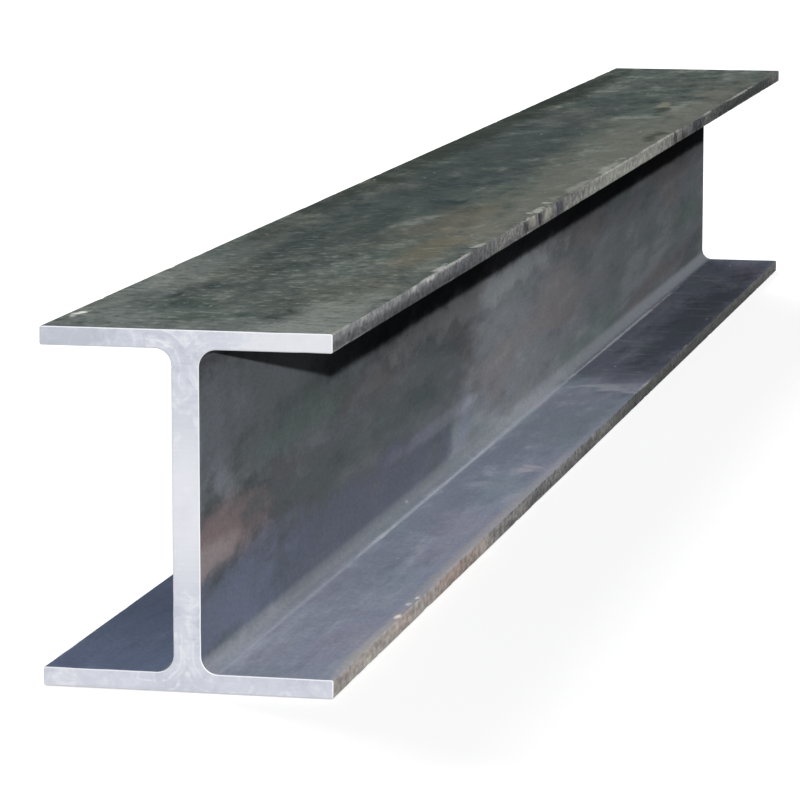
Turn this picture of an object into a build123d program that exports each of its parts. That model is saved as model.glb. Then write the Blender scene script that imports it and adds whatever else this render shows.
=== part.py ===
from build123d import *
import os

# Hot-rolled steel H-beam: one solid bar of constant section, sawn square at both ends.
# It lies on its bottom flange with the web upright. X runs across the flanges, Y along
# the bar and Z up. The origin is on the underside, at the middle of the width and length.

# Driving dimensions, in millimetres
length = 3000.0  # stock length, saw cut to saw cut
depth = 310.0  # outside of one flange to outside of the other
flange_width = 254.0
flange_thickness = 16.3
web_thickness = 24.0
root_radius = 15.0  # rolled fillet where the web runs into a flange
toe_radius = 1.5  # rolled rounding of the long corners at the flange tips
arris = 0.8  # burr ground off around each saw cut


def rolled_section():
    # Outline that the rolls give the bar, drawn across X and Z
    with BuildSketch(Plane.XZ) as section:
        with Locations((0, flange_thickness / 2), (0, depth - flange_thickness / 2)):
            Rectangle(flange_width, flange_thickness)
        with Locations((0, depth / 2)):
            Rectangle(web_thickness, depth - 2 * flange_thickness)
        left_toes, left_roots, right_roots, right_toes = section.vertices().group_by(Axis.X)
        fillet(left_roots + right_roots, radius=root_radius)
        fillet(left_toes + right_toes, radius=toe_radius)
    return section.sketch


def h_beam():
    # The section run out to the stock length, then the sharp edges of both saw cuts broken
    with BuildPart() as beam:
        extrude(rolled_section(), amount=length / 2, both=True)
        near_cut, *_, far_cut = beam.faces().sort_by(Axis.Y)
        chamfer(near_cut.edges() + far_cut.edges(), length=arris)
    return beam.part


os.makedirs("parts", exist_ok=True)
export_step(h_beam(), "parts/h_beam.step")
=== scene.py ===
import math

import bpy
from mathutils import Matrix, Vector


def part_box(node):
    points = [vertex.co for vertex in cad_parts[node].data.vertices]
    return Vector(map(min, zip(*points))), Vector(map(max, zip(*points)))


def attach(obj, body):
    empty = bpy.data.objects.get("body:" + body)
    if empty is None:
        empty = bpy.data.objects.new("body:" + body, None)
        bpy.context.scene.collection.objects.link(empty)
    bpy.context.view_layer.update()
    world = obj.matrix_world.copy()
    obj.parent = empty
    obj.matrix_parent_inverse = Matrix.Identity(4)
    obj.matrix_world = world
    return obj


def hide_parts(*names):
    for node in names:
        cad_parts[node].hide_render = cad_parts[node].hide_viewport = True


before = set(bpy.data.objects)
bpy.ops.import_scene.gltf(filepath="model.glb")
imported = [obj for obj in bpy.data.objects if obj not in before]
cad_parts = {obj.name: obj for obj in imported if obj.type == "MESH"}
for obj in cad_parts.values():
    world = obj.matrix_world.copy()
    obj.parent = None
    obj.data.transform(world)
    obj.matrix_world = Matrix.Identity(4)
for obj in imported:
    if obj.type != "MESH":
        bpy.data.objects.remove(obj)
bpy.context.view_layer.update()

beamLow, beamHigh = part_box("h_beam")
beamWidth, beamLength, beamDepth = beamHigh - beamLow
nearEnd = beamLow.y  # the sawn end that the photograph shows
millimetre = 0.001
print("frame loaded, beam", [round(size, 4) for size in (beamWidth, beamLength, beamDepth)])


# Small helpers for node trees: an input given as a socket is linked, anything else is set

def addNode(tree, kind, inputs=None, **settings):
    node = tree.nodes.new(kind)
    for name, value in settings.items():
        setattr(node, name, value)
    for key, value in (inputs or {}).items():
        if isinstance(value, bpy.types.NodeSocket):
            tree.links.new(value, node.inputs[key])
        else:
            node.inputs[key].default_value = value
    return node


def calc(tree, operation, a, b=0.0, c=0.0):
    return addNode(tree, "ShaderNodeMath", {0: a, 1: b, 2: c}, operation=operation).outputs[0]


def vecCalc(tree, operation, a, b=(0.0, 0.0, 0.0)):
    return addNode(tree, "ShaderNodeVectorMath", {0: a, 1: b}, operation=operation).outputs[0]


def scaleVector(tree, vector, factor):
    inputs = {0: vector, "Scale": factor}
    return addNode(tree, "ShaderNodeVectorMath", inputs, operation="SCALE").outputs[0]


def split(tree, vector):
    return addNode(tree, "ShaderNodeSeparateXYZ", {0: vector}).outputs[:3]


def ramp(tree, value, start, end, low=0.0, high=1.0):
    inputs = {0: value, 1: start, 2: end, 3: low, 4: high}
    return addNode(tree, "ShaderNodeMapRange", inputs, interpolation_type="SMOOTHSTEP").outputs[0]


def noise(tree, vector, scale, detail=3.0, roughness=0.5):
    inputs = {"Vector": vector, "Scale": scale, "Detail": detail, "Roughness": roughness}
    return addNode(tree, "ShaderNodeTexNoise", inputs).outputs[0]


def product(tree, *values):
    total = values[0]
    for value in values[1:]:
        total = calc(tree, "MULTIPLY", total, value)
    return total


def blend(tree, a, b, shareOfB):
    return calc(tree, "MULTIPLY_ADD", b, shareOfB, calc(tree, "MULTIPLY", a, 1.0 - shareOfB))


# The beam, swept along Y from its section. A key that an input of the sweep shares sets that input.

beam = {
    "Flange Thickness": 16.3 * millimetre,
    "Web Thickness": 24.0 * millimetre,
    "Root Radius": 15.0 * millimetre,
    "Root Steps": 8,
    "Toe Radius": 1.5 * millimetre,
    "Toe Steps": 2,
    "Toe Zone": 0.25,  # a corner further from the web than this share of the width is a toe
    "Arris": 0.8 * millimetre,  # ground off round each saw cut
    "Spacing": 12.0 * millimetre,  # between points on the flats of the section
    "Stations": 500,
    "Pit Depth": 0.35 * millimetre,  # shallow pits left by loose scale
    "Pit Scale": 34.0,
    "Pit Noise": (3.0, 0.55),  # its detail and roughness
    "Pit Stretch": (1.0, 0.55, 1.0),  # drawn out along the bar
    "Pit Range": (0.52, 0.72),  # where in the noise a pit starts and where it is full
    "Nick Count": 36,
    "Nick Depth": 0.5 * millimetre,  # small knocks along the flange tips
    "Smallest Nick": 7.0 * millimetre,
    "Largest Nick": 20.0 * millimetre,
    "Dent Depth": 2.6 * millimetre,
    "Dent Radius": 17.0 * millimetre,
    "Hollow Floor": 0.15,  # within this share of its radius a nick or dent has its full depth
    "Seed": 11,
}
dentsFromNearEnd = (0.882, 0.965, 1.075, 1.93, 2.00, 2.13)  # along the top right tip
creaseAngle = math.radians(32)
cutFacing = 0.5  # a face turned this far to an end of the bar belongs to the saw cut
hair = 0.1 * millimetre  # closer than this counts as touching


def makeOutline():
    halfFlange = beamWidth / 2
    halfWeb = beam["Web Thickness"] / 2
    flange = beam["Flange Thickness"]
    right = [(halfFlange, 0), (halfFlange, flange), (halfWeb, flange),
             (halfWeb, beamDepth - flange), (halfFlange, beamDepth - flange), (halfFlange, beamDepth)]
    left = [(-x, z) for x, z in reversed(right)]
    corners = [(x, -z, 0) for x, z in reversed(right + left)]  # the sweep turns -Y of the section to +Z
    links = [(i, (i + 1) % len(corners)) for i in range(len(corners))]
    dents = [(halfFlange, nearEnd + place, beamDepth) for place in dentsFromNearEnd]
    mesh = bpy.data.meshes.new("beam_outline")
    mesh.from_pydata(corners + dents, links, [])
    outline = bpy.data.objects.new("rolled_beam", mesh)
    bpy.context.scene.collection.objects.link(outline)
    return outline


def roundedSection(tree, given, position):
    section = addNode(tree, "GeometryNodeMeshToCurve", {"Mesh": given["Outline"]}).outputs[0]
    fromWeb = calc(tree, "ABSOLUTE", split(tree, position)[0])
    toeStart = calc(tree, "MULTIPLY", given["Width"], beam["Toe Zone"])
    isToe = calc(tree, "GREATER_THAN", fromWeb, toeStart)
    pick = {0: isToe, 2: given["Root Radius"], 3: given["Toe Radius"]}
    radius = addNode(tree, "ShaderNodeMix", pick).outputs[0]
    pick = {0: isToe, 2: given["Root Steps"], 3: given["Toe Steps"]}
    steps = addNode(tree, "ShaderNodeMix", pick).outputs[0]
    inputs = {"Curve": section, "Count": steps, "Radius": radius}
    section = addNode(tree, "GeometryNodeFilletCurve", inputs, mode="POLY").outputs[0]
    # Points along the flats, so that the relief has something to move
    pointCount = addNode(tree, "GeometryNodeAttributeDomainSize", {0: section}, component="CURVE")
    index = addNode(tree, "GeometryNodeInputIndex").outputs[0]
    nextIndex = calc(tree, "MODULO", calc(tree, "ADD", index, 1.0), pointCount.outputs[0])
    nextPlace = addNode(tree, "GeometryNodeFieldAtIndex", data_type="FLOAT_VECTOR")
    tree.links.new(position, nextPlace.inputs[0])
    tree.links.new(nextIndex, nextPlace.inputs[1])
    ends = {0: position, 1: nextPlace.outputs[0]}
    run = addNode(tree, "ShaderNodeVectorMath", ends, operation="DISTANCE").outputs[1]
    cuts = calc(tree, "FLOOR", calc(tree, "DIVIDE", run, given["Spacing"]))
    return addNode(tree, "GeometryNodeSubdivideCurve", {"Curve": section, "Cuts": cuts}).outputs[0]


def stationPath(tree, given, position, halfLength):
    # Each end has a short bay of an arris. The even bays between are three fewer than the stations.
    # The line is drawn with an even bay at each end too, and its ends are then held at the saw cuts.
    evenBays = calc(tree, "SUBTRACT", given["Stations"], 3.0)
    clear = calc(tree, "SUBTRACT", given["Length"], calc(tree, "MULTIPLY", given["Arris"], 2.0))
    reach = calc(tree, "ADD", calc(tree, "MULTIPLY", clear, 0.5), calc(tree, "DIVIDE", clear, evenBays))
    farPoint = addNode(tree, "ShaderNodeCombineXYZ", {1: reach}).outputs[0]
    nearPoint = scaleVector(tree, farPoint, -1.0)
    path = addNode(tree, "GeometryNodeCurvePrimitiveLine", {"Start": nearPoint, "End": farPoint}).outputs[0]
    inputs = {"Curve": path, "Count": given["Stations"]}
    path = addNode(tree, "GeometryNodeResampleCurve", inputs).outputs[0]
    held = calc(tree, "MINIMUM", split(tree, position)[1], halfLength)
    held = calc(tree, "MAXIMUM", held, calc(tree, "MULTIPLY", halfLength, -1.0))
    place = addNode(tree, "ShaderNodeCombineXYZ", {1: held}).outputs[0]
    return addNode(tree, "GeometryNodeSetPosition", {"Geometry": path, "Position": place}).outputs[0]


def storeEdgeDistance(tree, given, body, x, z):
    # How far each point lies from the nearest long corner of a flange
    halfDepth = calc(tree, "MULTIPLY", given["Depth"], 0.5)
    fromTip = calc(tree, "SUBTRACT", calc(tree, "MULTIPLY", given["Width"], 0.5), calc(tree, "ABSOLUTE", x))
    fromMiddle = calc(tree, "ABSOLUTE", calc(tree, "SUBTRACT", z, halfDepth))
    fromOuter = calc(tree, "ABSOLUTE", calc(tree, "SUBTRACT", halfDepth, fromMiddle))
    fromInner = calc(tree, "ABSOLUTE", calc(tree, "SUBTRACT", fromOuter, given["Flange Thickness"]))
    fromToe = calc(tree, "MINIMUM", fromOuter, fromInner)
    squares = calc(tree, "MULTIPLY_ADD", fromTip, fromTip, calc(tree, "MULTIPLY", fromToe, fromToe))
    inputs = {"Geometry": body, "Name": "edgeDistance", "Value": calc(tree, "SQRT", squares)}
    return addNode(tree, "GeometryNodeStoreNamedAttribute", inputs).outputs[0]


def nickPoints(tree, given, halfLength):
    def draw(number, low, high, kind, output):
        slots = (4, 5) if kind == "INT" else (2, 3)
        inputs = {slots[0]: low, slots[1]: high, "Seed": calc(tree, "ADD", given["Seed"], number)}
        return addNode(tree, "FunctionNodeRandomValue", inputs, data_type=kind).outputs[output]
    side = draw(0, 0, 1, "INT", 2)
    level = draw(1, 0, 1, "INT", 2)
    along = draw(2, calc(tree, "MULTIPLY", halfLength, -1.0), halfLength, "FLOAT", 1)
    size = draw(3, given["Smallest Nick"], given["Largest Nick"], "FLOAT", 1)
    across = calc(tree, "MULTIPLY", calc(tree, "SUBTRACT", side, 0.5), given["Width"])
    height = calc(tree, "MULTIPLY", level, given["Depth"])
    place = addNode(tree, "ShaderNodeCombineXYZ", {0: across, 1: along, 2: height}).outputs[0]
    inputs = {"Count": given["Nick Count"], "Position": place, "Radius": size}
    return addNode(tree, "GeometryNodePoints", inputs).outputs[0]


def dentPoints(tree, given):
    neighbours = addNode(tree, "GeometryNodeInputMeshVertexNeighbors").outputs[0]
    inputs = {2: neighbours, 3: 0}
    loose = addNode(tree, "FunctionNodeCompare", inputs, data_type="INT", operation="EQUAL").outputs[0]
    inputs = {"Mesh": given["Outline"], "Selection": loose, "Radius": given["Dent Radius"]}
    return addNode(tree, "GeometryNodeMeshToPoints", inputs).outputs[0]


def hollowAt(tree, points, depth):
    gap = addNode(tree, "GeometryNodeProximity", {0: points}, target_element="POINTS").outputs[1]
    nearest = addNode(tree, "GeometryNodeSampleNearest", {0: points}, domain="POINT").outputs[0]
    radius = addNode(tree, "GeometryNodeInputRadius").outputs[0]
    size = addNode(tree, "GeometryNodeSampleIndex", {0: points, 1: radius, 2: nearest}).outputs[0]
    share = calc(tree, "DIVIDE", gap, size)
    return calc(tree, "MULTIPLY", ramp(tree, share, 1.0, beam["Hollow Floor"]), depth)


def makeSweepTree():
    tree = bpy.data.node_groups.new("beamSweep", "GeometryNodeTree")
    sockets = {
        "NodeSocketGeometry": ("Outline",),
        "NodeSocketFloat": ("Length", "Width", "Depth", "Flange Thickness", "Root Radius", "Toe Radius",
                            "Arris", "Spacing", "Pit Depth", "Pit Scale", "Nick Depth", "Smallest Nick",
                            "Largest Nick", "Dent Depth", "Dent Radius"),
        "NodeSocketInt": ("Root Steps", "Toe Steps", "Stations", "Nick Count", "Seed"),
        "NodeSocketMaterial": ("Rolled Skin", "Sawn End"),
    }
    for kind, names in sockets.items():
        for name in names:
            tree.interface.new_socket(name, in_out="INPUT", socket_type=kind)
    tree.interface.new_socket("Beam", in_out="OUTPUT", socket_type="NodeSocketGeometry")
    given = addNode(tree, "NodeGroupInput").outputs
    position = addNode(tree, "GeometryNodeInputPosition").outputs[0]
    normal = addNode(tree, "GeometryNodeInputNormal").outputs[0]
    halfLength = calc(tree, "MULTIPLY", given["Length"], 0.5)

    section = roundedSection(tree, given, position)
    path = stationPath(tree, given, position, halfLength)
    inputs = {"Curve": path, "Profile Curve": section, "Fill Caps": True}
    body = addNode(tree, "GeometryNodeCurveToMesh", inputs).outputs[0]

    # Saw cuts: the end rings drawn in by the arris
    outward = vecCalc(tree, "NORMALIZE", vecCalc(tree, "MULTIPLY", normal, (1.0, 0.0, 1.0)))
    x, y, z = split(tree, position)
    atCut = calc(tree, "GREATER_THAN", calc(tree, "ABSOLUTE", y), calc(tree, "SUBTRACT", halfLength, hair))
    drawnIn = scaleVector(tree, outward, product(tree, atCut, given["Arris"], -1.0))
    body = addNode(tree, "GeometryNodeSetPosition", {"Geometry": body, "Offset": drawnIn}).outputs[0]
    body = storeEdgeDistance(tree, given, body, x, z)

    # Relief: nicks and dents along the tips, and the shallow pits of loose scale
    nicks = hollowAt(tree, nickPoints(tree, given, halfLength), given["Nick Depth"])
    dents = hollowAt(tree, dentPoints(tree, given), given["Dent Depth"])
    drawnOut = vecCalc(tree, "MULTIPLY", position, beam["Pit Stretch"])
    pits = noise(tree, drawnOut, given["Pit Scale"], *beam["Pit Noise"])
    pits = ramp(tree, pits, *beam["Pit Range"])
    sunk = calc(tree, "MULTIPLY_ADD", pits, given["Pit Depth"], calc(tree, "MAXIMUM", nicks, dents))
    relief = scaleVector(tree, outward, calc(tree, "MULTIPLY", sunk, -1.0))
    body = addNode(tree, "GeometryNodeSetPosition", {"Geometry": body, "Offset": relief}).outputs[0]

    # Smooth faces with sharp creases, then the two finishes
    edgeAngle = addNode(tree, "GeometryNodeInputMeshEdgeAngle").outputs[0]
    sharp = calc(tree, "GREATER_THAN", edgeAngle, creaseAngle)
    for domain, chosen, smooth in (("FACE", True, True), ("EDGE", sharp, False)):
        inputs = {0: body, 1: chosen, 2: smooth}
        body = addNode(tree, "GeometryNodeSetShadeSmooth", inputs, domain=domain).outputs[0]
    body = addNode(tree, "GeometryNodeRealizeInstances", {0: body}).outputs[0]
    body = addNode(tree, "GeometryNodeSetMaterial", {0: body, 2: given["Rolled Skin"]}).outputs[0]
    isCut = calc(tree, "GREATER_THAN", calc(tree, "ABSOLUTE", split(tree, normal)[1]), cutFacing)
    body = addNode(tree, "GeometryNodeSetMaterial", {0: body, 1: isCut, 2: given["Sawn End"]}).outputs[0]
    addNode(tree, "NodeGroupOutput", {0: body})
    return tree


def bakeBeam(skinFinish, cutFinish):
    outline = makeOutline()
    tree = makeSweepTree()
    settings = dict(beam)
    settings.update({"Length": beamLength, "Width": beamWidth, "Depth": beamDepth})
    settings.update({"Rolled Skin": skinFinish, "Sawn End": cutFinish})
    modifier = outline.modifiers.new("sweep", "NODES")
    modifier.node_group = tree
    for item in tree.interface.items_tree:
        if item.in_out == "INPUT" and item.name in settings:
            modifier[item.identifier] = settings[item.name]
    depsgraph = bpy.context.evaluated_depsgraph_get()
    mesh = bpy.data.meshes.new_from_object(outline.evaluated_get(depsgraph), depsgraph=depsgraph)
    outline.modifiers.remove(modifier)
    outline.data = mesh
    mesh.name = "rolled_beam"
    triangles = sum(len(face.vertices) - 2 for face in mesh.polygons)
    counts = (len(mesh.vertices), triangles, len(mesh.materials))
    print("beam swept: %d points, %d triangles, %d finishes" % counts)
    return outline


# Finishes

# Noise lies around a half: these ramps take its peaks, its hollows, its highest peaks or nearly all of it
peaks = (0.5, 0.68)
hollows = (0.5, 0.33)
highPeaks = (0.55, 0.69)
nearlyAll = (0.3, 0.7)
toneSteps = (0.36, 0.5, 0.64)  # where a dark tone ends, where the middle one is full, where a pale one is
markFade = (1.1, 0.3)  # where a mark starts and where it is full, in half sizes from its middle


def seen(red, green, blue):
    # From display levels of 0 to 255 to linear ones
    def linear(level):
        part = level / 255
        return part / 12.92 if part <= 0.04045 else ((part + 0.055) / 1.055) ** 2.4
    return (linear(red), linear(green), linear(blue), 1.0)


def newFinish(name):
    material = bpy.data.materials.new(name)
    material.use_nodes = True
    tree = material.node_tree
    tree.nodes.clear()
    surface = addNode(tree, "ShaderNodeBsdfPrincipled")
    addNode(tree, "ShaderNodeOutputMaterial", {"Surface": surface.outputs[0]})
    return material, tree, surface


def mixColour(tree, factor, a, b):
    return addNode(tree, "ShaderNodeMix", {0: factor, 6: a, 7: b}, data_type="RGBA").outputs[2]


def threeTone(tree, factor, tones):
    dark, middle, pale = tones
    lower = mixColour(tree, ramp(tree, factor, *toneSteps[:2]), dark, middle)
    return mixColour(tree, ramp(tree, factor, *toneSteps[1:]), lower, pale)


def addTints(tree, colour, tint, onPeaks, inHollows):
    for span, (tone, strength) in ((peaks, onPeaks), (hollows, inHollows)):
        colour = mixColour(tree, ramp(tree, tint, *span, 0.0, strength), colour, tone)
    return colour


def addMarks(tree, colour, marks, plan, ragged):
    for (across, along), (halfAcross, halfAlong), tone, strength in marks:
        offset = vecCalc(tree, "SUBTRACT", plan, (across, along, 0.0))
        offset = vecCalc(tree, "DIVIDE", offset, (halfAcross, halfAlong, 1.0))
        away = addNode(tree, "ShaderNodeVectorMath", {0: offset}, operation="LENGTH").outputs[1]
        reach = calc(tree, "ADD", away, ragged)
        colour = mixColour(tree, ramp(tree, reach, *markFade, 0.0, strength), colour, tone)
    return colour


# Mill scale on the rolled faces. Each mark is a soft-edged stain, worn place or change of tone that the
# photograph shows: its place across the face and along from the near end, its half sizes, its colour and
# strength. A pair of numbers is where a ramp starts and ends, and two more are what it gives there.
# Some marks and tones below are painted light, painted shade or painted sheen, as the comments by them say.
rolled = {
    # how each pattern is drawn out across the bar, along it and upwards
    "stretch": {
        "short": (0.9, 0.36, 1.0),
        "long": (1.0, 0.33, 1.0),
        "longer": (1.0, 0.17, 1.0),
        "longest": (1.0, 0.07, 1.0),
        "flake": (0.65, 0.75, 1.0),
        "scuff": (0.15, 0.6, 1.0),
        "chip": (1.0, 0.6, 1.0),
        "wear": (1.0, 0.1, 1.0),
    },
    # scale, detail and roughness of each noise
    "noises": {
        "cloud": (9.0, 4.0, 0.6),
        "mottle": (34.0, 5.0, 0.65),
        "webMottle": (34.0, 5.0, 0.62),
        "streak": (55.0, 4.0, 0.6),
        "grain": (320.0, 2.0, 0.6),
        "flake": (110.0, 4.0, 0.65),
        "tint": (14.0, 2.0, 0.5),
        "scuff": (90.0, 3.0, 0.6),
        "chip": (140.0, 4.0, 0.7),
        "wear": (30.0, 4.0, 0.7),
    },
    # how much of the second noise is blended into the first
    "blends": {"mixed": 0.6, "patch": 0.7, "webPatch": 0.6, "drawn": 0.4, "fine": 0.35, "bump": 0.12},
    "raggedness": 1.8,  # of the marks' edges, in half sizes
    "raggedAlong": 0.12,  # of the edges between stretches of the bar, in metres
    "chippedness": 1.6,  # the same on the top right tip
    "driftNoise": {"Scale": 16.0, "Detail": 3.0},
    "driftReach": (0.03, 0.25, 0.0),  # how far a mark strays across and along
    "upperHalf": (0.4 * beamDepth, 0.6 * beamDepth),  # tells the top flange from the lower one
    "facing": (0.45, 0.8),  # how far a face is turned before it counts as a top or a side
    "tipStart": 0.4 * beamWidth,
    "rootEnd": 0.2 * beamWidth,
    "topTones": (seen(54, 63, 63), seen(84, 91, 88), seen(118, 123, 117)),
    "topFlake": seen(141, 147, 142),
    "topBare": seen(53, 59, 59),
    "topTints": ((seen(82, 98, 88), 0.2), (seen(104, 98, 86), 0.2)),  # greenish and brownish
    "flaking": (1.0, 0.3, 0.25, 1.0),
    "flakeStrength": 0.52,
    "bareStrength": 0.46,
    "topMarks": (  # across from the web, + to the right
        ((0.105, 1.60), (0.055, 1.50), seen(112, 113, 104), 0.60),
        ((-0.035, 1.65), (0.085, 1.45), seen(62, 70, 71), 0.66),
        ((-0.020, 0.62), (0.075, 0.36), seen(60, 68, 67), 0.45),
        ((-0.112, 1.90), (0.036, 1.65), seen(52, 58, 54), 0.75),
        ((-0.112, 2.40), (0.040, 0.42), seen(46, 52, 45), 0.45),
        ((0.105, 0.06), (0.055, 0.24), seen(134, 139, 134), 0.60),
        ((-0.105, 0.28), (0.050, 0.42), seen(122, 129, 126), 0.48),
        ((0.000, 0.00), (0.140, 0.12), seen(122, 128, 126), 0.50),
        ((0.085, 0.64), (0.030, 0.22), seen(112, 103, 86), 0.50),
        ((0.055, 0.84), (0.035, 0.26), seen(106, 99, 84), 0.35),
        ((0.050, 1.85), (0.035, 0.34), seen(112, 112, 104), 0.45),
        ((0.110, 1.86), (0.012, 0.09), seen(56, 58, 50), 0.70),
        ((0.062, 2.26), (0.013, 0.08), seen(58, 60, 52), 0.65),
        ((0.050, 2.34), (0.011, 0.06), seen(138, 136, 114), 0.50),
        ((-0.118, 0.08), (0.006, 0.018), seen(224, 224, 218), 1.00),
        ((0.124, 0.48), (0.004, 0.060), seen(186, 190, 189), 0.60),
        ((0.121, 0.64), (0.006, 0.035), seen(176, 176, 170), 0.60),
        ((0.120, 0.985), (0.008, 0.032), seen(176, 177, 166), 0.65),
        ((0.118, 1.070), (0.008, 0.028), seen(168, 171, 162), 0.60),
        ((0.121, 1.22), (0.007, 0.120), seen(150, 152, 145), 0.50),
        ((0.119, 1.45), (0.009, 0.110), seen(158, 162, 152), 0.55),
    ),
    "webTones": (seen(102, 107, 110), seen(117, 121, 125), seen(134, 138, 142)),
    "webTints": ((seen(98, 118, 110), 0.32), (seen(122, 109, 110), 0.35)),
    "webStainsAndPaintedLight": (  # across is the height above the floor
        # painted light: paler upper web near the sawn end
        ((0.222, 0.20), (0.070, 0.66), seen(162, 168, 173), 0.78),
        # painted bluish sky light on the lower web
        ((0.040, 0.55), (0.066, 0.85), seen(125, 130, 151), 0.68),
        ((0.180, 0.38), (0.030, 0.28), seen(96, 120, 110), 0.40),
        # painted light: paler upper web at the sawn end
        ((0.215, 0.02), (0.060, 0.14), seen(180, 190, 204), 0.45),
        # painted bluish sky light on the lower web at the sawn end
        ((0.055, 0.05), (0.050, 0.32), seen(146, 153, 180), 0.60),
        # painted light: paler band on the web just below the top flange's shadow
        ((0.186, 1.20), (0.026, 0.60), seen(164, 168, 171), 0.50),
    ),
    "webGleamAndRust": (  # a painted reflection streak and the rust at the near end, kept in place without the drift
        ((0.074, 1.00), (0.011, 0.26), seen(166, 170, 182), 0.38),
        ((0.122, 0.05), (0.032, 0.20), seen(188, 161, 162), 0.55),
        ((0.110, 0.03), (0.019, 0.12), seen(206, 196, 198), 0.50),
    ),
    "webStep": 1.155,  # from the near end to where the darker stretch stops
    "webStepSoft": 0.055,
    "webStepHeight": 0.4 * beamDepth,
    "webStepLean": 1.2,
    "webShares": (0.7, 1.26),  # of the web's own colour, before the step and after it
    "webFades": ((1.35, 1.95, 1.0, 0.74), (1.85, 2.25, 1.0, 0.8)),
    # painted shade on the upper web under the top flange: its strength, where along the bar it starts, its
    # lower edge and how much that edge wavers
    "paintedShade": 0.65,
    "paintedShadeStart": (0.3, 0.6),
    "paintedShadeEdge": (0.62 * beamDepth, 0.67 * beamDepth),
    "paintedShadeWaver": 0.01,
    # the lower flange's tones carry a painted bluish sheen of sky reflection
    "lowerTonesWithSheen": (seen(134, 141, 157), seen(157, 163, 182), seen(180, 185, 198)),
    "lowerTints": ((seen(140, 160, 166), 0.4), (seen(166, 158, 177), 0.4)),
    "lowerFade": (0.75, 1.45, 1.0, 0.76),
    "lowerSteps": ((1.62, 1.82, 1.0, 0.46), (1.8, 2.7, 1.0, 0.75)),
    "leftTones": (seen(76, 85, 103), seen(85, 94, 114), seen(95, 104, 124)),
    "leftGlow": (0.3, 0.0, 1.0, 1.35),
    "leftPlain": seen(92, 96, 103),
    "leftFade": (0.45, 1.0, 0.0, 0.75),
    "lowerMarks": (
        ((0.045, 0.40), (0.040, 0.55), seen(140, 147, 160), 0.40),
        ((0.046, 0.90), (0.038, 0.62), seen(137, 143, 160), 0.75),
        ((0.070, 1.42), (0.070, 0.34), seen(140, 148, 161), 0.50),
        ((0.105, 2.25), (0.052, 0.66), seen(116, 122, 137), 0.75),
        ((0.100, 1.06), (0.016, 0.04), seen(212, 204, 212), 0.55),
        ((0.060, 0.92), (0.020, 0.05), seen(186, 187, 202), 0.45),
        ((0.075, 1.68), (0.060, 0.04), seen(206, 209, 216), 0.50),
    ),
    "lowerScuff": seen(150, 154, 164),
    "scuffStart": (1.55, 1.7),
    "scuffStrength": 0.18,
    "lowerGleamsAndSpecks": (  # painted highlights on the root, painted sheen on the edge, bright specks, no drift
        ((0.0265, 0.25), (0.003, 0.34), seen(206, 211, 218), 0.25),
        ((0.0265, 0.95), (0.0035, 0.48), seen(226, 229, 233), 0.34),
        ((0.0260, 0.62), (0.004, 0.10), seen(236, 238, 240), 0.40),
        ((0.0255, 1.44), (0.007, 0.40), seen(226, 229, 233), 0.27),
        ((0.0265, 2.10), (0.003, 0.60), seen(222, 225, 230), 0.32),
        ((0.122, 0.65), (0.007, 0.70), seen(180, 174, 172), 0.50),
        ((0.124, 0.14), (0.007, 0.20), seen(192, 188, 182), 0.55),
        ((0.1240, 0.266), (0.0038, 0.014), seen(255, 244, 242), 1.00),
        ((0.1220, 0.322), (0.0045, 0.012), seen(230, 226, 220), 0.80),
        ((0.1240, 0.352), (0.0030, 0.010), seen(240, 236, 232), 0.85),
    ),
    "tipTones": (seen(102, 102, 106), seen(124, 124, 125), seen(148, 148, 144)),
    "topTipMarks": (  # across is the drop from the top face
        ((0.008, 0.25), (0.030, 0.60), seen(114, 115, 119), 0.75),
        ((0.014, 0.40), (0.007, 0.32), seen(83, 84, 90), 0.50),
        ((0.002, 0.14), (0.007, 0.34), seen(168, 170, 172), 0.60),
        ((0.008, 1.55), (0.030, 0.60), seen(157, 158, 151), 0.72),
        ((0.008, 2.58), (0.030, 0.58), seen(72, 76, 75), 0.88),
        ((0.001, 0.12), (0.004, 0.020), seen(190, 194, 186), 0.60),
        ((0.002, 0.325), (0.004, 0.014), seen(206, 208, 204), 0.70),
        ((0.001, 0.40), (0.004, 0.030), seen(226, 228, 224), 0.80),
        ((0.005, 0.918), (0.012, 0.022), seen(182, 180, 166), 0.65),
        ((0.006, 1.008), (0.012, 0.026), seen(186, 184, 170), 0.70),
        ((0.003, 1.430), (0.008, 0.060), seen(182, 182, 172), 0.25),
        ((0.013, 1.500), (0.007, 0.480), seen(190, 192, 183), 0.50),
        ((0.008, 0.882), (0.014, 0.017), seen(56, 55, 60), 0.82),
        ((0.008, 0.965), (0.012, 0.017), seen(50, 49, 49), 0.86),
        ((0.008, 1.078), (0.014, 0.030), seen(66, 70, 80), 0.80),
        ((0.008, 1.930), (0.013, 0.020), seen(60, 60, 60), 0.80),
        ((0.010, 2.000), (0.010, 0.026), seen(64, 63, 62), 0.75),
        ((0.008, 2.130), (0.016, 0.070), seen(64, 64, 70), 0.82),
    ),
    "lowTipMarks": (  # across is the height above the floor
        ((0.008, 0.25), (0.030, 0.62), seen(190, 182, 177), 0.85),
        ((0.003, 0.22), (0.007, 0.55), seen(212, 205, 198), 0.45),
        ((0.004, 0.135), (0.005, 0.025), seen(224, 218, 206), 0.55),
        ((0.008, 0.28), (0.030, 0.06), seen(208, 188, 180), 0.40),
        ((0.008, 0.53), (0.030, 0.14), seen(176, 146, 134), 0.45),
        ((0.008, 2.30), (0.030, 1.10), seen(92, 94, 92), 0.85),
    ),
    "chipShares": (0.70, 1.30),
    # painted sheen on the root fillets: its colour, how bent a face is before it gets it, its strength and
    # paler patches
    "root": seen(123, 128, 134),
    "rootBend": (0.04, 0.46),
    "rootSheenStrength": 0.85,
    "rootSheenMarks": (
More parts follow.
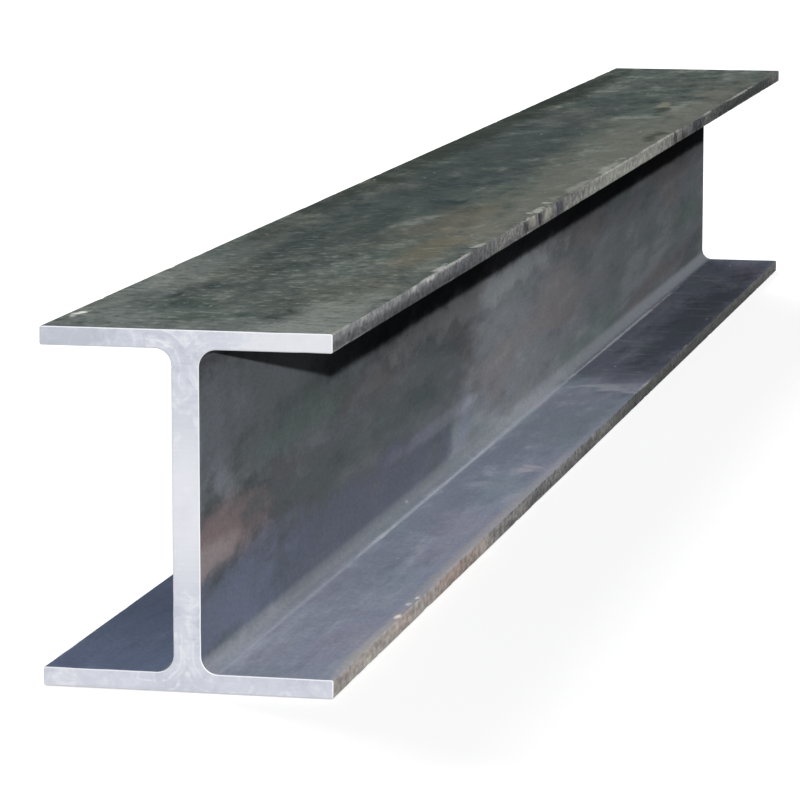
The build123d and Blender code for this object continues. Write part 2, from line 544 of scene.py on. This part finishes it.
        ((0.020, 0.04), (0.030, 0.28), seen(152, 157, 165), 0.65),
        ((0.024, 1.44), (0.020, 0.44), seen(162, 166, 171), 0.45),
    ),
    "grainShares": (0.94, 1.06),
    "wear": seen(196, 195, 190),
    "wearEdge": (3.0 * millimetre, 0.8 * millimetre),
    "wearFray": 4.0 * millimetre,
    "wearStretches": (0.5, 0.62),
    "wearStrength": 0.62,
    "speck": seen(196, 198, 198),
    "speckScale": 60.0,
    "speckSize": (0.14, 0.06),
    "speckShare": (0.86, 0.9),  # only cells above this get one
    "speckStrength": 0.3,
    "roughness": (0.7, 0.5),
    "bump": {"Strength": 0.35, "Distance": millimetre},
}


def topFinish(tree, field):
    colour = threeTone(tree, field["patch"], rolled["topTones"])
    colour = addTints(tree, colour, field["tint"], *rolled["topTints"])
    colour = addMarks(tree, colour, rolled["topMarks"], field["flatStray"], field["ragged"])
    # Loose flakes, most of them near the sawn end
    flaking = ramp(tree, field["along"], *rolled["flaking"])
    pale = product(tree, ramp(tree, field["flake"], *highPeaks), flaking, rolled["flakeStrength"])
    bare = product(tree, ramp(tree, field["flake"], *hollows), flaking, rolled["bareStrength"])
    colour = mixColour(tree, pale, colour, rolled["topFlake"])
    return mixColour(tree, bare, colour, rolled["topBare"])


def webFinish(tree, field):
    colour = threeTone(tree, field["webPatch"], rolled["webTones"])
    colour = addTints(tree, colour, field["webTint"], *rolled["webTints"])
    # Marks on the right side of the web only: stains, painted light, painted sky light and a painted
    # reflection streak
    marked = addMarks(tree, colour, rolled["webStainsAndPaintedLight"], field["uprightStray"], field["ragged"])
    marked = addMarks(tree, marked, rolled["webGleamAndRust"], field["upright"], field["ragged"])
    colour = mixColour(tree, field["right"], colour, marked)
    # The stretch nearest the sawn end is darker, up to a leaning edge
    height = calc(tree, "SUBTRACT", field["z"], rolled["webStepHeight"])
    leaning = calc(tree, "MULTIPLY_ADD", height, -rolled["webStepLean"], field["alongRagged"])
    stepStart = rolled["webStep"] - rolled["webStepSoft"]
    stepEnd = rolled["webStep"] + rolled["webStepSoft"]
    share = ramp(tree, leaning, stepStart, stepEnd, *rolled["webShares"])
    for fade in rolled["webFades"]:
        share = product(tree, share, ramp(tree, field["alongRagged"], *fade))
    # Painted shade under the top flange: the upper web darkened where the key lamp's shadow falls
    paintedShadeHeight = calc(tree, "MULTIPLY_ADD", field["ragged"], rolled["paintedShadeWaver"], field["z"])
    paintedShade = ramp(tree, paintedShadeHeight, *rolled["paintedShadeEdge"])
    paintedShade = product(tree, paintedShade, ramp(tree, field["along"], *rolled["paintedShadeStart"], 0.0, rolled["paintedShade"]))
    return scaleVector(tree, colour, product(tree, share, calc(tree, "SUBTRACT", 1.0, paintedShade)))


def lowerFinish(tree, field):
    # The lower flange's colour carries a painted bluish sheen of sky reflection
    colour = threeTone(tree, field["drawn"], rolled["lowerTonesWithSheen"])
    colour = addTints(tree, colour, field["tint"], *rolled["lowerTints"])
    colour = addMarks(tree, colour, rolled["lowerMarks"], field["flatStray"], field["ragged"])
    # Duller towards the far end
    dull = ramp(tree, field["along"], *rolled["lowerFade"])
    for fade in rolled["lowerSteps"]:
        dull = product(tree, dull, ramp(tree, field["alongRagged"], *fade))
    colour = scaleVector(tree, colour, dull)
    crossways = noise(tree, field["stretched"]["scuff"], *rolled["noises"]["scuff"])
    scuffed = ramp(tree, field["along"], *rolled["scuffStart"])
    scuffs = product(tree, ramp(tree, crossways, *highPeaks), scuffed, rolled["scuffStrength"])
    colour = mixColour(tree, scuffs, colour, rolled["lowerScuff"])
    # Painted highlights and sheen along the root and the edge, and bright specks
    colour = addMarks(tree, colour, rolled["lowerGleamsAndSpecks"], field["flat"], field["ragged"])
    # The left half is darker: bluest at the sawn end, plainer where the photograph doesn't show it
    left = threeTone(tree, field["drawn"], rolled["leftTones"])
    left = scaleVector(tree, left, ramp(tree, field["along"], *rolled["leftGlow"]))
    left = mixColour(tree, ramp(tree, field["along"], *rolled["leftFade"]), left, rolled["leftPlain"])
    return mixColour(tree, field["right"], left, colour)


def tipFinish(tree, field):
    colour = threeTone(tree, field["fine"], rolled["tipTones"])
    low = addMarks(tree, colour, rolled["lowTipMarks"], field["upright"], field["ragged"])
    top = addMarks(tree, colour, rolled["topTipMarks"], field["hanging"], field["chipped"])
    colour = mixColour(tree, field["right"], colour, mixColour(tree, field["above"], low, top))
    chips = noise(tree, field["stretched"]["chip"], *rolled["noises"]["chip"])
    return scaleVector(tree, colour, ramp(tree, chips, *nearlyAll, *rolled["chipShares"]))


def readSurface(tree):
    noises, blends = rolled["noises"], rolled["blends"]
    place = addNode(tree, "ShaderNodeTexCoord").outputs["Object"]
    x, y, z = split(tree, place)
    along = calc(tree, "SUBTRACT", y, nearEnd)
    nx, _, nz = split(tree, addNode(tree, "ShaderNodeNewGeometry").outputs["Normal"])
    # Rolling draws the scale out along the bar, more on the web than on the top
    stretched = {}
    for name, amounts in rolled["stretch"].items():
        stretched[name] = vecCalc(tree, "MULTIPLY", place, amounts)
    cloud = noise(tree, stretched["long"], *noises["cloud"])
    mottle = noise(tree, stretched["long"], *noises["mottle"])
    shortMottle = noise(tree, stretched["short"], *noises["mottle"])
    webCloud = noise(tree, stretched["longer"], *noises["cloud"])
    webMottle = noise(tree, stretched["longer"], *noises["webMottle"])
    streak = noise(tree, stretched["longest"], *noises["streak"])
    grain = noise(tree, stretched["long"], *noises["grain"])
    flake = noise(tree, stretched["flake"], *noises["flake"])
    mixed = blend(tree, cloud, mottle, blends["mixed"])
    ragged = calc(tree, "MULTIPLY", calc(tree, "SUBTRACT", mottle, 0.5), rolled["raggedness"])
    chipped = calc(tree, "MULTIPLY", calc(tree, "SUBTRACT", flake, 0.5), rolled["chippedness"])
    drift = addNode(tree, "ShaderNodeTexNoise", {"Vector": place, **rolled["driftNoise"]}).outputs[1]
    drift = vecCalc(tree, "MULTIPLY", vecCalc(tree, "SUBTRACT", drift, (0.5, 0.5, 0.5)), rolled["driftReach"])
    flat = addNode(tree, "ShaderNodeCombineXYZ", {0: x, 1: along}).outputs[0]
    upright = addNode(tree, "ShaderNodeCombineXYZ", {0: z, 1: along}).outputs[0]
    drop = calc(tree, "SUBTRACT", beamHigh.z, z)
    return {
        "x": x, "z": z, "nx": nx, "nz": nz, "along": along, "stretched": stretched,
        "mottle": mottle, "grain": grain, "flake": flake, "ragged": ragged, "chipped": chipped,
        "patch": blend(tree, cloud, shortMottle, blends["patch"]),
        "tint": noise(tree, stretched["long"], *noises["tint"]),
        "webPatch": blend(tree, webCloud, webMottle, blends["webPatch"]),
        "webTint": noise(tree, stretched["longer"], *noises["tint"]),
        "drawn": blend(tree, mixed, streak, blends["drawn"]),
        "fine": blend(tree, cloud, grain, blends["fine"]),
        "flat": flat, "flatStray": vecCalc(tree, "ADD", flat, drift),
        "upright": upright, "uprightStray": vecCalc(tree, "ADD", upright, drift),
        "hanging": addNode(tree, "ShaderNodeCombineXYZ", {0: drop, 1: along}).outputs[0],
        "alongRagged": calc(tree, "MULTIPLY_ADD", ragged, rolled["raggedAlong"], along),
        "above": ramp(tree, z, *rolled["upperHalf"]),
        "right": calc(tree, "GREATER_THAN", x, 0.0),
    }


def rubCorners(tree, field, colour):
    # Bright in stretches, with a frayed edge
    edge = addNode(tree, "ShaderNodeAttribute", attribute_name="edgeDistance").outputs["Fac"]
    stretches = noise(tree, field["stretched"]["wear"], *rolled["noises"]["wear"])
    frayed = calc(tree, "MULTIPLY_ADD", field["chipped"], rolled["wearFray"], edge)
    nearCorner = ramp(tree, frayed, *rolled["wearEdge"])
    rubbed = ramp(tree, stretches, *rolled["wearStretches"])
    worn = product(tree, nearCorner, rubbed, rolled["wearStrength"])
    return mixColour(tree, worn, colour, rolled["wear"])


def addSpecks(tree, field, colour):
    inputs = {"Vector": field["stretched"]["long"], "Scale": rolled["speckScale"]}
    cells = addNode(tree, "ShaderNodeTexVoronoi", inputs).outputs
    few = ramp(tree, split(tree, cells["Color"])[0], *rolled["speckShare"])
    specks = product(tree, ramp(tree, cells["Distance"], *rolled["speckSize"]), few, rolled["speckStrength"])
    return mixColour(tree, specks, colour, rolled["speck"])


def rolledSkin():
    material, tree, surface = newFinish("rolled_skin")
    field = readSurface(tree)

    # Which face a point is on
    up = ramp(tree, field["nz"], *rolled["facing"])
    side = ramp(tree, calc(tree, "ABSOLUTE", field["nx"]), *rolled["facing"])
    fromWeb = calc(tree, "ABSOLUTE", field["x"])
    onTip = product(tree, side, calc(tree, "GREATER_THAN", fromWeb, rolled["tipStart"]))
    onTop = product(tree, up, field["above"])
    onLower = product(tree, up, calc(tree, "SUBTRACT", 1.0, field["above"]))
    bent = calc(tree, "ABSOLUTE", calc(tree, "MULTIPLY", field["nx"], field["nz"]))
    nearWeb = calc(tree, "LESS_THAN", fromWeb, rolled["rootEnd"])
    inRoot = product(tree, ramp(tree, bent, *rolled["rootBend"]), nearWeb)

    colour = mixColour(tree, onTop, webFinish(tree, field), topFinish(tree, field))
    colour = mixColour(tree, onLower, colour, lowerFinish(tree, field))
    # Painted sheen on the root fillets
    root = addMarks(tree, rolled["root"], rolled["rootSheenMarks"], field["flat"], field["ragged"])
    colour = mixColour(tree, product(tree, inRoot, rolled["rootSheenStrength"]), colour, root)
    colour = mixColour(tree, onTip, colour, tipFinish(tree, field))
    colour = scaleVector(tree, colour, ramp(tree, field["grain"], *nearlyAll, *rolled["grainShares"]))
    colour = addSpecks(tree, field, rubCorners(tree, field, colour))
    tree.links.new(colour, surface.inputs["Base Color"])

    # Scale is dull: a gloss would put the white surroundings over the dark top face
    surface.inputs["Specular IOR Level"].default_value = 0.0
    roughness = ramp(tree, field["mottle"], *nearlyAll, *rolled["roughness"])
    tree.links.new(roughness, surface.inputs["Roughness"])
    height = blend(tree, field["mottle"], field["grain"], rolled["blends"]["bump"])
    bump = addNode(tree, "ShaderNodeBump", {**rolled["bump"], "Height": height})
    tree.links.new(bump.outputs[0], surface.inputs["Normal"])
    return material


sawn = {
    "smear": {"Scale": 55.0, "Detail": 6.0, "Roughness": 0.65, "Distortion": 0.8},
    "sawLines": (420.0, 2.0, 0.5),  # scale, detail and roughness
    "sawStretch": (0.08, 1.0, 1.0),
    "sawLineShare": 0.16,
    "raggedness": 1.6,
    "tones": (seen(169, 172, 182), seen(183, 186, 195), seen(199, 200, 206)),
    # the ground edge round the cut, with a painted highlight on it
    "burr": seen(224, 225, 228),
    "burrFacing": (0.95, 0.8, 0.0, 0.8),
    "flow": (300.0, 2.0, 0.5),  # the bands that the rolls bent round each root
    "flowReach": 2.2,  # how far they go, in sizes of the root
    "flowBreaks": (0.38, 0.55, 0.2, 1.0),
    "flowWaver": 12.0 * millimetre,
    "flowFaint": 0.35,  # what is left of the bands on the right of the web
    "flowPale": seen(214, 215, 220),
    "flowPaleStrength": 0.65,
    "flowDark": seen(158, 162, 174),
    "flowDarkStrength": 0.45,
    "roughness": 0.55,
    "specular": 0.2,
    "bump": {"Strength": 0.2, "Distance": 0.4 * millimetre},
    "marks": (  # across from the web, then the height above the floor
        ((-0.110, 0.302), (0.070, 0.030), seen(157, 162, 173), 0.70),
        ((0.100, 0.302), (0.070, 0.030), seen(202, 203, 207), 0.80),
        ((0.000, 0.160), (0.030, 0.080), seen(205, 206, 211), 0.70),
        ((0.000, 0.006), (0.150, 0.020), seen(178, 181, 191), 0.50),
    ),
}


def addFlow(tree, colour, x, z, smear):
    # Depth below the nearest rolled face, with all four roots folded onto one
    middle = 0.5 * beamDepth
    fromMiddle = calc(tree, "ABSOLUTE", calc(tree, "SUBTRACT", z, middle))
    fromOuter = calc(tree, "SUBTRACT", middle, fromMiddle)
    fromWeb = calc(tree, "ABSOLUTE", x)
    rootX = beam["Web Thickness"] / 2 + beam["Root Radius"]
    rootZ = beam["Flange Thickness"] + beam["Root Radius"]
    inX = calc(tree, "MAXIMUM", calc(tree, "SUBTRACT", rootX, fromWeb), 0.0)
    inZ = calc(tree, "MAXIMUM", calc(tree, "SUBTRACT", rootZ, fromOuter), 0.0)
    corner = addNode(tree, "ShaderNodeCombineXYZ", {0: inX, 1: inZ}).outputs[0]
    deep = addNode(tree, "ShaderNodeVectorMath", {0: corner}, operation="LENGTH").outputs[1]
    wavering = calc(tree, "MULTIPLY_ADD", smear, sawn["flowWaver"], deep)
    rings = addNode(tree, "ShaderNodeCombineXYZ", {0: wavering}).outputs[0]
    bands = noise(tree, rings, *sawn["flow"])
    nearX = ramp(tree, fromWeb, sawn["flowReach"] * rootX, rootX)
    nearZ = ramp(tree, fromOuter, sawn["flowReach"] * rootZ, rootZ)
    onLeft = ramp(tree, x, rootX, -rootX, sawn["flowFaint"], 1.0)
    broken = product(tree, nearX, nearZ, onLeft, ramp(tree, smear, *sawn["flowBreaks"]))
    pale = product(tree, ramp(tree, bands, *peaks), broken, sawn["flowPaleStrength"])
    dark = product(tree, ramp(tree, bands, *hollows), broken, sawn["flowDarkStrength"])
    return mixColour(tree, dark, mixColour(tree, pale, colour, sawn["flowPale"]), sawn["flowDark"])


def sawnEnd():
    material, tree, surface = newFinish("sawn_end")
    place = addNode(tree, "ShaderNodeTexCoord").outputs["Object"]
    x, _, z = split(tree, place)
    plan = addNode(tree, "ShaderNodeCombineXYZ", {0: x, 1: z}).outputs[0]
    smear = addNode(tree, "ShaderNodeTexNoise", {"Vector": place, **sawn["smear"]}).outputs[0]
    acrossCut = vecCalc(tree, "MULTIPLY", place, sawn["sawStretch"])
    sawLines = noise(tree, acrossCut, *sawn["sawLines"])
    ragged = calc(tree, "MULTIPLY", calc(tree, "SUBTRACT", smear, 0.5), sawn["raggedness"])
    colour = threeTone(tree, blend(tree, smear, sawLines, sawn["sawLineShare"]), sawn["tones"])
    colour = addMarks(tree, colour, sawn["marks"], plan, ragged)
    colour = addFlow(tree, colour, x, z, smear)
    # The broken edge round the cut is the brightest: a ground edge with a painted highlight
    normal = addNode(tree, "ShaderNodeNewGeometry").outputs["Normal"]
    facing = calc(tree, "ABSOLUTE", split(tree, normal)[1])
    colour = mixColour(tree, ramp(tree, facing, *sawn["burrFacing"]), colour, sawn["burr"])
    tree.links.new(colour, surface.inputs["Base Color"])
    surface.inputs["Roughness"].default_value = sawn["roughness"]
    surface.inputs["Specular IOR Level"].default_value = sawn["specular"]
    bump = addNode(tree, "ShaderNodeBump", {**sawn["bump"], "Height": sawLines})
    tree.links.new(bump.outputs[0], surface.inputs["Normal"])
    return material


# Stage: floor, lamps, background and camera

stage = {
    "floorSize": 60.0,
    "floorDrop": 0.5 * millimetre,
    "floorGlow": 0.46,  # share of the floor's white that shadows can't take away
    "floorColour": (0.8, 0.8, 0.8, 1.0),
    "floorBounce": (0.08, 0.08, 0.08, 1.0),
    "skyColour": (1.0, 1.0, 1.0, 1.0),
    "skyStrength": 0.09,
    # where each lamp stands as seen from the beam, its strength and how wide it looks in degrees
    "lamps": {
        "key": ((0.225, -0.956, 0.186), 4.0, 0.6),
        "side": ((0.69, 0.0, 0.72), 1.2, 14.0),
        "back": ((-0.55, 0.65, 0.45), 3.0, 40.0),
    },
}

view = {
    "place": (0.8983, -4.7796, 0.7801),
    "aim": (0.0577, -0.9178, 0.1640),
    "lens": 184.5,
    "sensor": 36.0,
}


def backgroundRay(tree):
    path = addNode(tree, "ShaderNodeLightPath").outputs
    direct = calc(tree, "MAXIMUM", path["Is Camera Ray"], path["Is Glossy Ray"])
    return calc(tree, "MAXIMUM", direct, path["Is Transmission Ray"])


def makeFloor():
    half = stage["floorSize"] / 2
    corners = [(-half, -half), (half, -half), (half, half), (-half, half)]
    mesh = bpy.data.meshes.new("floor")
    mesh.from_pydata([(x, y, -stage["floorDrop"]) for x, y in corners], [], [(0, 1, 2, 3)])
    floor = bpy.data.objects.new("floor", mesh)
    bpy.context.scene.collection.objects.link(floor)
    material = bpy.data.materials.new("floor_white")
    material.use_nodes = True
    tree = material.node_tree
    tree.nodes.clear()
    plain = addNode(tree, "ShaderNodeBsdfDiffuse", {"Color": stage["floorColour"]}).outputs[0]
    glow = addNode(tree, "ShaderNodeEmission", {"Strength": stage["floorGlow"]}).outputs[0]
    lit = addNode(tree, "ShaderNodeAddShader", {0: plain, 1: glow}).outputs[0]
    bounce = addNode(tree, "ShaderNodeBsdfDiffuse", {"Color": stage["floorBounce"]}).outputs[0]
    shader = addNode(tree, "ShaderNodeMixShader", {0: backgroundRay(tree), 1: bounce, 2: lit}).outputs[0]
    addNode(tree, "ShaderNodeOutputMaterial", {"Surface": shader})
    mesh.materials.append(material)


def makeLight():
    world = bpy.data.worlds.new("studio")
    world.use_nodes = True
    tree = world.node_tree
    tree.nodes.clear()
    strength = ramp(tree, backgroundRay(tree), 0.0, 1.0, stage["skyStrength"], 1.0)
    inputs = {"Color": stage["skyColour"], "Strength": strength}
    sky = addNode(tree, "ShaderNodeBackground", inputs).outputs[0]
    addNode(tree, "ShaderNodeOutputWorld", {"Surface": sky})
    bpy.context.scene.world = world
    for name, (toward, strength, width) in stage["lamps"].items():
        lamp = bpy.data.lights.new(name, "SUN")
        lamp.energy = strength
        lamp.angle = math.radians(width)
        holder = bpy.data.objects.new(name, lamp)
        holder.rotation_euler = Vector(toward).to_track_quat("Z", "Y").to_euler()
        bpy.context.scene.collection.objects.link(holder)


def makeCamera():
    camera = bpy.data.cameras.new("camera")
    camera.lens = view["lens"]
    camera.sensor_width = view["sensor"]
    holder = bpy.data.objects.new("camera", camera)
    holder.location = view["place"]
    gaze = Vector(view["aim"]) - Vector(view["place"])
    holder.rotation_euler = gaze.to_track_quat("-Z", "Y").to_euler()
    bpy.context.scene.collection.objects.link(holder)
    bpy.context.scene.camera = holder


beamPiece = bakeBeam(rolledSkin(), sawnEnd())
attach(beamPiece, "root")
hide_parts("h_beam")
print("beam placed")

makeFloor()
makeLight()
makeCamera()
bpy.context.scene.view_settings.view_transform = "Standard"
print("stage set")
